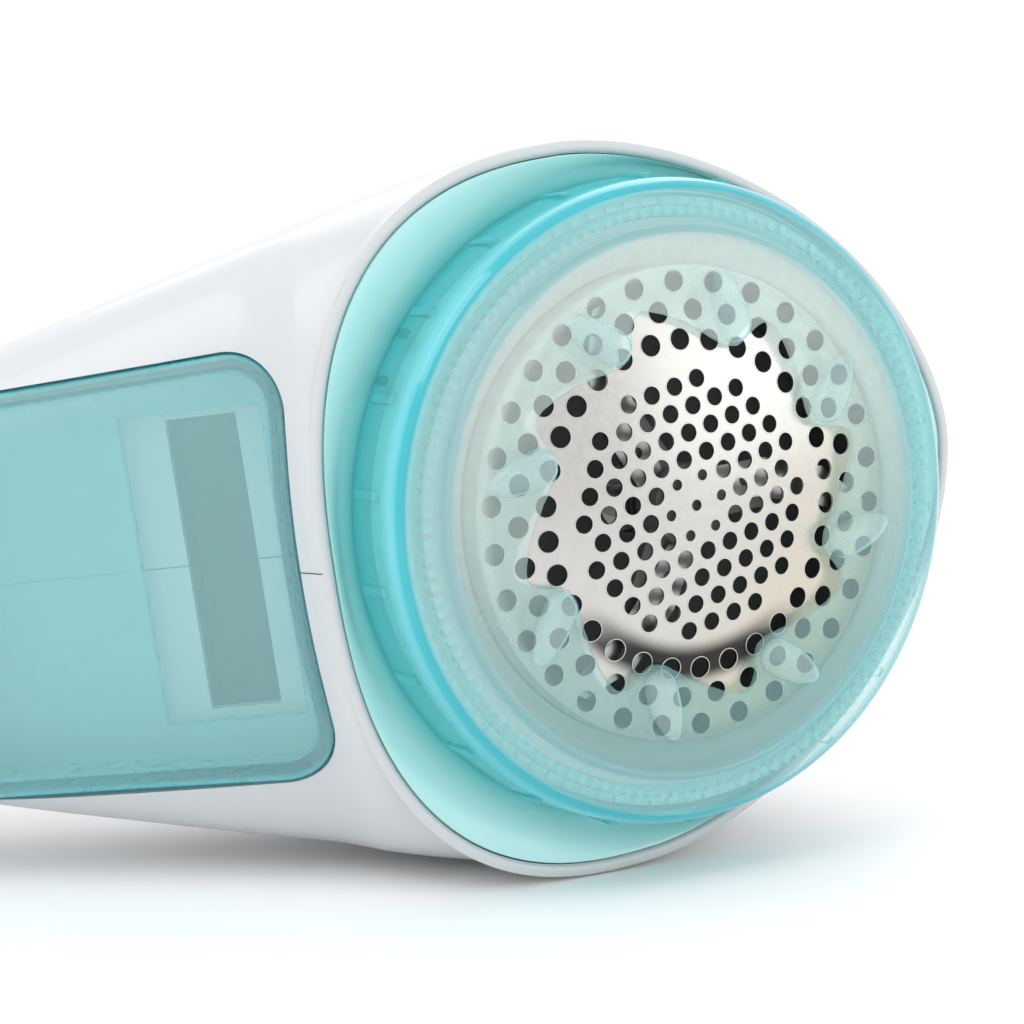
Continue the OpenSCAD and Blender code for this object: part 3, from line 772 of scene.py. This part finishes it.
class ShaverPlate(bpy.types.Operator):
    """The dished front plate round the cap"""

    bl_idname = "shaver.plate"
    bl_label = "Front plate"

    def execute(self, context):
        edge = plate_ring(0, 0)
        inner = circle_ring(29.6, 0)
        rings = [circle_ring(r, z) for r, z in (
            (25, PLATE_BACK_Z), (25, -4), (26, -4), (26, PLATE_FLOOR_Z), (29.2, PLATE_FLOOR_Z),
            (29.6, PLATE_FLOOR_Z + 0.1),
        )]
        for t, z in ((0.15, -9.45), (0.35, -9.1), (0.55, -8.82), (0.75, -8.6), (0.9, -8.47), (0.98, -8.46)):
            rings.append(mixed_ring(inner, edge, t, z))
        rings += [plate_ring(-0.08, PLATE_EDGE_Z - 0.14), plate_ring(0, PLATE_EDGE_Z - 0.35)]
        rings += [plate_ring(0, PLATE_BACK_Z), circle_ring(25, PLATE_BACK_Z)]
        plate = loft("front_plate_visual", rings, closed=True)
        finished(plate, HEAD, material("plate"), "handle", ("front_plate",), angle=40)
        return {"FINISHED"}


def tooth_radius(phase):
    """Radius of the cap's opening: a slow rise from a tip to a corner, then a drop to the next tip."""
    points = ((0, 14.2), (0.06, 14.15), (0.16, 14.5), (0.3, 15.2), (0.45, 16.05), (0.6, 16.95), (0.68, 17.4),
              (0.73, 17.55), (0.78, 17.35), (0.82, 16.8), (0.86, 15.9), (0.9, 14.9), (0.94, 14.35), (1, 14.2))
    for (a, low), (b, high) in zip(points, points[1:]):
        if phase <= b:
            t = (phase - a) / (b - a)
            t = t * t * (3 - 2 * t) * 0.4 + t * 0.6
            return low + (high - low) * t
    return points[-1][1]


class ShaverCap(bpy.types.Operator):
    """The see-through height cap, with its toothed opening, drops and grip ribs"""

    bl_idname = "shaver.cap"
    bl_label = "Height cap"

    def execute(self, context):
        settings = context.scene.shaver_head
        drops, ribs = settings.drop_count, settings.rib_count
        per_tooth = 36
        angles = [FIRST_TOOTH + math.tau * (i + k / per_tooth) / drops
                  for i in range(drops) for k in range(per_tooth)]
        edge = [tooth_radius((k % per_tooth) / per_tooth) for k in range(drops * per_tooth)]

        def toothed(out, z):
            return [((r + out) * math.cos(a), (r + out) * math.sin(a), z) for a, r in zip(angles, edge)]

        def round_ring(r, z):
            return [(r * math.cos(a), r * math.sin(a), z) for a in angles]

        rings = [toothed(0.12, -0.7), toothed(0.0, -0.6), toothed(0.0, -0.25)]
        rings += [toothed(0.1, -0.12), toothed(0.3, -0.1)]
        rings += [round_ring(r, z) for r, z in (
            (19, -0.1), (21.6, -0.1), (22.6, -0.2), (23.5, -0.55), (24.0, -0.95), (24.2, -1.25),
            (24.5, -1.28), (24.8, -1.15), (26.2, -1.22), (27.2, -1.5), (27.9, -2.1), (28.3, -3.0),
            (28.45, -4.2), (CAP_R, -6.2), (CAP_R, -9.1), (28.5, -9.3), (27.35, -9.3), (27.25, -9.1),
            (27.25, -3.6), (27.0, -3.0), (26.4, -2.6), (24.4, -2.4), (23.2, -1.9), (22.2, -1.4),
            (20.6, -0.75), (19, -0.7),
        )]
        rings.append(toothed(0.3, -0.7))
        rings.append(toothed(0.12, -0.7))
        cap = loft("height_cap_visual", rings, closed=True)
        tools = []
        for i in range(drops):
            turn = math.tau * i / drops + FIRST_TOOTH
            profile = ((0.0, -1.65), (0.6, -1.54), (1.15, -1.2), (1.52, -0.65), (1.65, 0.0), (1.66, 1.0),
                       (1.6, 2.0), (1.45, 3.0), (1.2, 3.9), (0.85, 4.7), (0.4, 5.2), (0.0, 5.35))
            drop = loft("drop", [[(max(r, 0.02) * math.cos(b), max(r, 0.02) * math.sin(b), s)
                                  for b in (math.tau * k / 20 for k in range(20))] for r, s in profile])
            lie = Matrix.Rotation(turn, 4, "Z") @ Matrix.Translation((16.1, 0.3, -0.15))
            lie = lie @ Matrix.Rotation(math.radians(34), 4, "Z") @ Matrix.Rotation(math.radians(94), 4, "Y")
            moved(drop, lie)
            combine(drop, "DIFFERENCE", block("under", (-40, -40, -6), (40, 40, -0.66)))
            tools.append(drop)
        for i in range(ribs):
            a = math.tau * i / ribs + math.radians(4)
            rib = block("rib", (CAP_R - 0.6, -0.45, -8.3), (CAP_R - 0.02, 0.45, -4.4))
            bevelled(rib, 0.15, 2)
            moved(rib, Matrix.Rotation(a, 4, "Z") @ Matrix.Translation((0.28, 0, 0)))
            tools.append(rib)
        combine(cap, "UNION", *tools)
        finished(cap, HEAD, material("cap"), "cap", ("height_cap",), angle=38)
        return {"FINISHED"}


class ShaverContainer(bpy.types.Operator):
    """The see-through lint container"""

    bl_idname = "shaver.container"
    bl_label = "Lint container"

    def execute(self, context):
        outline = bay_outline(0)
        middle = (sum(p[0] for p in outline) / len(outline), 0.0)

        def ring(inset, drop_in, proud):
            points = []
            for x, z in bay_outline(-inset):
                points.append((x, belly_surface(x, z, proud) + drop_in, z))
            return points

        def inner_ring(inset, grow):
            return [(x, bay_floor(x, grow), z) for x, z in bay_outline(-inset)]

        def towards_middle(source, t, proud, drop_in):
            points = []
            for x, z in bay_outline(-source):
                px, pz = x + (middle[0] - x) * t, z + (middle[1] - z) * t
                points.append((px, belly_surface(px, pz, proud) + drop_in, pz))
            return points

        r = 1.1
        outer = [inner_ring(0.0, -0.45)]
        for k in range(7):
            a = math.radians(15 * k)
            outer.append(ring(r * (1 - math.cos(a)), r * (1 - math.sin(a)), 0.8))
        outer += [towards_middle(r, t, 0.8, 0) for t in (0.12, 0.3, 0.5, 0.7, 0.85, 0.97)]
        solid = loft("lint_container_visual", outer)
        hollow = [inner_ring(1.4, -1.85)]
        for k in range(5):
            a = math.radians(22.5 * k)
            hollow.append(ring(1.4 + 0.8 * (1 - math.cos(a)), 1.4 + 0.8 * (1 - math.sin(a)), 0.8))
        hollow += [towards_middle(2.2, t, 0.8, 1.4) for t in (0.12, 0.3, 0.5, 0.7, 0.85, 0.97)]
        cavity = loft("cavity", hollow)
        mouth = block("mouth", (-49.5, -1, -14), (-36.5, 11, 14))
        corner_cut = combine(block("corner_cut", (-74.5, -1.2, -30), (-67.3, 19, 30)), "DIFFERENCE",
                             rod("swing", (-68.5, -1.2, -31), (-68.5, -1.2, 31), 8.35, 64))
        wedge = moved(block("wedge", (0, -2.2, -30), (12, 3.8, 30)),
                      Matrix.Translation((-66.1, -7.4, 0)) @ Matrix.Rotation(math.radians(152), 4, "Z"))
        combine(solid, "DIFFERENCE", cavity, mouth, corner_cut, wedge)
        finished(solid, DEVICE, material("container"), "container", ("lint_container",), 30)
        return {"FINISHED"}


class ShaverFoil(bpy.types.Operator):
    """The domed foil with its holes and their raised rims"""

    bl_idname = "shaver.foil"
    bl_label = "Foil"

    def execute(self, context):
        pitch = context.scene.shaver_head.hole_pitch / MM
        dome = (DOME_R**2 + DOME_RISE**2) / (2 * DOME_RISE)

        def height(r):
            if r >= DOME_R:
                return -DOME_RISE
            return math.sqrt(dome * dome - r * r) - dome

        radii = [0.05, 1.5, 3, 4.5, 6, 7.5, 9, 10.5, 12, 13.2, 14.2, 15, 15.8, 16.5, 17.2, 18.4, 20.4]
        rings = [circle_ring(r, height(r), 128) for r in radii]
        rings += [circle_ring(r, z, 128) for r, z in (
            (20.8, -1.62), (20.9, -1.9), (20.9, -4.95), (22.6, -4.95), (22.6, -5.2), (20.65, -5.2),
            (20.65, -2.0), (20.4, -1.75),
        )]
        rings += [circle_ring(r, height(r) - FOIL_THICKNESS, 128) for r in reversed(radii[:-1])]
        foil = loft("foil_visual", rings)
        spots = [(0.0, 0.0, 0.5)]
        turn = math.radians(8.2)
        for k in range(6):
            a = math.tau * k / 6
            spots.append((pitch * 1.12 * math.cos(a), pitch * 1.12 * math.sin(a), 0.5))
        for n in range(2, 6):
            for side in range(6):
                for j in range(n):
                    a, b = math.radians(60 * side), math.radians(60 * side + 120)
                    x, y = n * math.cos(a) + j * math.cos(b), n * math.sin(a) + j * math.sin(b)
                    if math.hypot(x, y) < 4.9:
                        spots.append((pitch * x, pitch * y, 0.8))
        spots = [(x * math.cos(turn) - y * math.sin(turn), x * math.sin(turn) + y * math.cos(turn), r)
                 for x, y, r in spots]
        for row in range(3):
            for k in range(30):
                a = math.radians(13.2 + 6 * (row % 2) + 12 * k)
                d = pitch * (6 + 1.05 * row)
                spots.append((d * math.cos(a), d * math.sin(a), 0.95))
        punches = [rod("punch", (x, y, -3), (x, y, 1), r, 24) for x, y, r in spots]
        rims = []
        for x, y, r in spots:
            z = height(math.hypot(x, y))
            outwards = Vector((x, y, dome)) if math.hypot(x, y) < DOME_R else Vector((0, 0, 1))
            tilt = outwards.to_track_quat("Z", "Y").to_matrix().to_4x4()
            clear_selection()
            bpy.ops.mesh.primitive_torus_add(
                major_segments=24, minor_segments=6, major_radius=r + 0.03, minor_radius=0.055)
            rim = named("hole_rim")
            moved(rim, Matrix.Translation((x, y, z - 0.01)) @ tilt)
            rims.append(rim)
        first = join(punches[0], *punches[1:])
        combine(foil, "DIFFERENCE", first)
        bead = join(rims[0], *rims[1:])
        bead.name = bead.data.name = "foil_rims"
        finished(foil, HEAD, material("foil"), "foil_head", ("foil",), angle=30)
        finished(bead, HEAD, material("steel"), "foil_head", angle=60)
        return {"FINISHED"}


class ShaverDoor(bpy.types.Operator):
    """The sliding battery door with its grip ribs"""

    bl_idname = "shaver.door"
    bl_label = "Battery door"

    def execute(self, context):
        door = combine(skin("battery_door_visual", 0), "DIFFERENCE", skin("door_inside", WALL))
        combine(door, "INTERSECT", door_block("door_space", 0))
        grooves = []
        for i in range(5):
            x = -92 - 2.2 * i
            top = back(x)
            grooves.append(rod("groove", (x, top + 0.35, -6), (x, top + 0.35, 6), 0.75, 24))
        combine(door, "DIFFERENCE", *grooves)
        finished(door, DEVICE, material("shell"), "door", ("battery_door",))
        return {"FINISHED"}


class ShaverSwitch(bpy.types.Operator):
    """The sliding switch knob"""

    bl_idname = "shaver.switch"
    bl_label = "Switch knob"

    def execute(self, context):
        turn = math.radians(15.4)
        place = Matrix.Translation((-64, back(-64), 0)) @ Matrix.Rotation(turn, 4, "Z")
        place = place @ Matrix.Translation((-2, 0, 0))
        knob = bevelled(block("switch_knob_visual", (-6, 0.7, -4.2), (6, 2.2, 4.2)), 0.6, 4)
        grooves = [rod("groove", (1.8 * i, 2.35, -3.2), (1.8 * i, 2.35, 3.2), 0.45, 20) for i in range(-2, 3)]
        combine(knob, "DIFFERENCE", *grooves)
        combine(knob, "UNION", block("stem", (-2.5, -5, -1.8), (2.5, 1, 1.8)))
        finished(knob, DEVICE @ place, material("plate"), "switch", ("switch_knob",))
        return {"FINISHED"}


class ShaverMarks(bpy.types.Operator):
    """The cap's two height marks"""

    bl_idname = "shaver.marks"
    bl_label = "Height marks"

    def execute(self, context):
        marks = []
        for a in (139, 148):
            mark = block("height_marks", (CAP_R - 0.45, -0.4, -9.0), (CAP_R - 0.02, 0.4, -7.7))
            moved(mark, Matrix.Rotation(math.radians(a), 4, "Z"))
            marks.append(mark)
        mark = join(*marks)
        finished(mark, HEAD, material("dark"), "cap")
        return {"FINISHED"}


class ShaverInside(bpy.types.Operator):
    """Materials of the CAD pieces that show as they are"""

    bl_idname = "shaver.inside"
    bl_label = "Inner pieces"

    def execute(self, context):
        for name, obj in frame["nodes"].items():
            obj.data.materials.clear()
            obj.data.materials.append(material(NODE_MATERIALS[name]))
        return {"FINISHED"}


# The stage, in metres; the lens and the sensor in millimetres
CAMERA_PLACE = (0.05023, -0.24623, 0.07223)
CAMERA_LOOK = (-0.048695, 0.984805, -0.1667)
LENS = 94.864
SENSOR_WIDTH = 36
LIGHTS = (  # name, place, size, power
    ("key_light", (-0.45, -0.35, 0.8), 0.6, 2.6),
    ("fill_light", (0.9, -0.25, 0.3), 0.5, 0.8),
    ("back_light", (-0.1, 0.9, 0.9), 0.9, 3.0),
)


class ShaverStage(bpy.types.Operator):
    """Pale floor, soft lights and the camera"""

    bl_idname = "shaver.stage"
    bl_label = "Stage"

    def execute(self, context):
        clear_selection()
        bpy.ops.mesh.primitive_plane_add(size=40, location=(0, 0, -0.0001))
        floor = named("floor")
        bpy.ops.object.transform_apply(location=True, rotation=True, scale=True)
        maker = Maker("floor_white")
        cloud = maker.noise(6, 2)
        maker.set(Base_Color=maker.mix(cloud, (0.955, 0.955, 0.96), (0.965, 0.965, 0.97)), Roughness=0.8)
        floor.data.materials.append(maker.material)
        world = bpy.data.worlds.new("studio")
        world.use_nodes = True
        background = world.node_tree.nodes["Background"]
        background.inputs["Color"].default_value = (1, 1, 1, 1)
        background.inputs["Strength"].default_value = context.scene.shaver_stage.surround
        context.scene.world = world
        for name, place, size, energy in LIGHTS:
            bpy.ops.object.light_add(type="AREA", location=place)
            light = bpy.context.object
            light.name = light.data.name = name
            light.data.size = size
            light.data.energy = energy
            light.rotation_euler = (Vector((0, 0, 0.03)) - Vector(place)).to_track_quat("-Z", "Y").to_euler()
        bpy.ops.object.camera_add(location=CAMERA_PLACE)
        camera = bpy.context.object
        look = Vector(CAMERA_LOOK)
        camera.rotation_euler = look.to_track_quat("-Z", "Y").to_euler()
        camera.rotation_euler.rotate_axis("Z", math.radians(context.scene.shaver_stage.roll))
        camera.data.sensor_width = SENSOR_WIDTH
        camera.data.lens = LENS
        camera.data.clip_start = 0.01
        context.scene.camera = camera
        context.scene.view_settings.view_transform = "Standard"
        return {"FINISHED"}


# ---------- settings and panel ----------

class ShaverShellSettings(bpy.types.PropertyGroup):
    parting_gap: bpy.props.FloatProperty(
        name="Parting gap", description="Width of the line between the shell's halves", default=0.00012,
        min=0, max=0.0005, precision=5, subtype="DISTANCE", unit="LENGTH")


class ShaverHeadSettings(bpy.types.PropertyGroup):
    drop_count: bpy.props.IntProperty(
        name="Drops", description="Number of raised drops round the cap's opening", default=8, min=6, max=10)
    rib_count: bpy.props.IntProperty(
        name="Ribs", description="Number of grip ribs round the cap's wall", default=22, min=12, max=32)
    hole_pitch: bpy.props.FloatProperty(
        name="Hole pitch", description="Spacing of the holes in the middle of the foil", default=0.0024,
        min=0.00235, max=0.00245, precision=5, subtype="DISTANCE", unit="LENGTH")


class ShaverColourSettings(bpy.types.PropertyGroup):
    shell: bpy.props.FloatVectorProperty(
        name="Shell", description="Colour of the shell and the battery door",
        default=(0.59, 0.61, 0.625), size=3, min=0, max=1, subtype="COLOR")
    plate: bpy.props.FloatVectorProperty(
        name="Front plate", description="Colour of the front plate and the switch",
        default=(0.45, 0.78, 0.77), size=3, min=0, max=1, subtype="COLOR")
    clear: bpy.props.FloatVectorProperty(
        name="Clear parts", description="Colour of the see-through cap and container at their edges",
        default=(0.05, 0.64, 0.74), size=3, min=0, max=1, subtype="COLOR")


class ShaverStageSettings(bpy.types.PropertyGroup):
    surround: bpy.props.FloatProperty(
        name="Surround", description="Strength of the even white light from all round", default=1.05,
        min=0, max=3)
    roll: bpy.props.FloatProperty(
        name="Roll", description="Turn of the camera about its view, in degrees", default=-0.52,
        min=-5, max=5)


OPERATORS = (
    ShaverInside, ShaverShell, ShaverPlate, ShaverCap, ShaverContainer, ShaverFoil, ShaverDoor, ShaverSwitch,
    ShaverMarks, ShaverStage,
)


class ShaverPanel(bpy.types.Panel):
    """Lists the pieces and their settings"""

    bl_idname = "VIEW3D_PT_shaver"
    bl_label = "Fabric shaver"
    bl_space_type = "VIEW_3D"
    bl_region_type = "UI"
    bl_category = "Shaver"

    def draw(self, context):
        scene = context.scene
        for settings, names in (
            (scene.shaver_shell, ("parting_gap",)),
            (scene.shaver_head, ("drop_count", "rib_count", "hole_pitch")),
            (scene.shaver_colours, ("shell", "plate", "clear")),
            (scene.shaver_stage, ("surround", "roll")),
        ):
            for name in names:
                self.layout.prop(settings, name)
        for operator in OPERATORS:
            self.layout.operator(operator.bl_idname)


GROUPS = (ShaverShellSettings, ShaverHeadSettings, ShaverColourSettings, ShaverStageSettings)


def register():
    for cls in (*GROUPS, *OPERATORS, ShaverPanel):
        bpy.utils.register_class(cls)
    bpy.types.Scene.shaver_shell = bpy.props.PointerProperty(type=ShaverShellSettings)
    bpy.types.Scene.shaver_head = bpy.props.PointerProperty(type=ShaverHeadSettings)
    bpy.types.Scene.shaver_colours = bpy.props.PointerProperty(type=ShaverColourSettings)
    bpy.types.Scene.shaver_stage = bpy.props.PointerProperty(type=ShaverStageSettings)


def unregister():
    del bpy.types.Scene.shaver_colours
    del bpy.types.Scene.shaver_stage
    del bpy.types.Scene.shaver_head
    del bpy.types.Scene.shaver_shell
    for cls in reversed((*GROUPS, *OPERATORS, ShaverPanel)):
        bpy.utils.unregister_class(cls)


def main():
    register()
    for operator in OPERATORS:
        group, name = operator.bl_idname.split(".")
        getattr(getattr(bpy.ops, group), name)()


if __name__ == "__main__":
    main()
